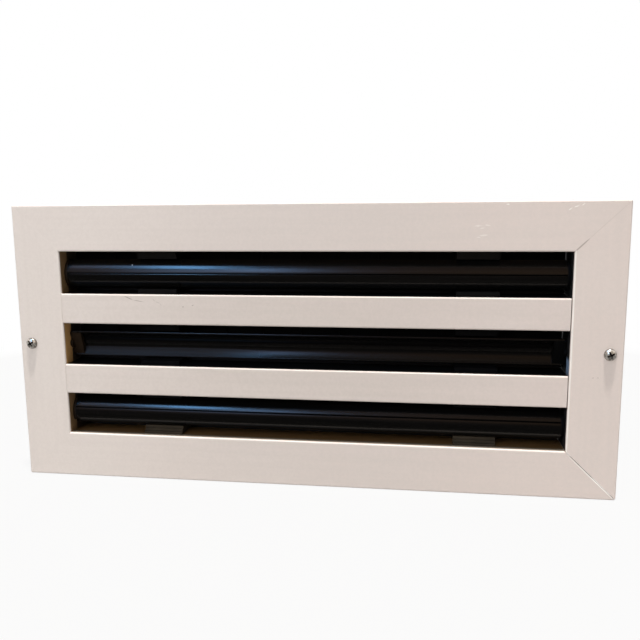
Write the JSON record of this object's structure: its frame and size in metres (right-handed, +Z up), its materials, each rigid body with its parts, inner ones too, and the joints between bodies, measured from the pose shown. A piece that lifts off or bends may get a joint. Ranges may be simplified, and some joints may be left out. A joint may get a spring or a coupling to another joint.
{
  "type": "linear slot air outlet",
  "caption": "Wall or ceiling air outlet with long slots in a mitred white border, turning black rollers that aim the air, and sliding dampers behind.",
  "frame": {"origin": "centre of the face, on the wall plane that the border's lip rests on and midway between the two face screws", "axes": "+X to the right along the slots, +Y into the wall along the face screws, +Z up"},
  "size_m": [0.362, 0.0345, 0.1714],
  "materials": {
    "white_enamel": "satin",
    "roller_black": "gloss",
    "cap_brown": "matt",
    "cradle_grey": "matt",
    "damper_black": "matt",
    "bare_aluminium": "mill",
    "screw_nickel": "bright nickel"
  },
  "bodies": {
    "frame": {"frame_top": "white_enamel", "frame_bottom": "white_enamel", "frame_left": "white_enamel", "frame_right": "white_enamel", "corner_key_top_left": "bare_aluminium", "corner_key_top_right": "bare_aluminium", "corner_key_bottom_left": "bare_aluminium", "corner_key_bottom_right": "bare_aluminium", "bar_upper": "white_enamel", "bar_lower": "white_enamel", "cradle_top_left": "cradle_grey", "cradle_top_right": "cradle_grey", "cradle_middle_left": "cradle_grey", "cradle_middle_right": "cradle_grey", "cradle_bottom_left": "cradle_grey", "cradle_bottom_right": "cradle_grey", "damper_plate_top": "damper_black", "damper_plate_middle": "damper_black", "damper_plate_bottom": "damper_black", "face_screw_left": "screw_nickel", "face_screw_right": "screw_nickel", "bar_screws": "screw_nickel"},
    "roller_top": {"roller_top": "roller_black", "cap_top_left": "cap_brown", "cap_top_right": "cap_brown"},
    "roller_middle": {"roller_middle": "roller_black", "cap_middle_left": "cap_brown", "cap_middle_right": "cap_brown"},
    "roller_bottom": {"roller_bottom": "roller_black", "cap_bottom_left": "cap_brown", "cap_bottom_right": "cap_brown"},
    "damper_slide_top": {"damper_slide_top": "damper_black"},
    "damper_slide_middle": {"damper_slide_middle": "damper_black"},
    "damper_slide_bottom": {"damper_slide_bottom": "damper_black"}
  },
  "joints": [
    {"name": "roller_top_turn", "type": "hinge", "parent": "frame", "child": "roller_top", "pos_m": [0, 0.00471, 0.0435], "axis": [1, 0, 0], "continuous": true},
    {"name": "roller_middle_turn", "type": "hinge", "parent": "frame", "child": "roller_middle", "pos_m": [0, 0.00471, -0.001], "axis": [1, 0, 0], "continuous": true},
    {"name": "roller_bottom_turn", "type": "hinge", "parent": "frame", "child": "roller_bottom", "pos_m": [0, 0.00471, -0.0435], "axis": [1, 0, 0], "continuous": true},
    {"name": "damper_top_slide", "type": "slide", "parent": "frame", "child": "damper_slide_top", "axis": [1, 0, 0], "range_m": [0, 0.012]},
    {"name": "damper_middle_slide", "type": "slide", "parent": "frame", "child": "damper_slide_middle", "axis": [1, 0, 0], "range_m": [0, 0.012]},
    {"name": "damper_bottom_slide", "type": "slide", "parent": "frame", "child": "damper_slide_bottom", "axis": [1, 0, 0], "range_m": [0, 0.012]}
  ]
}
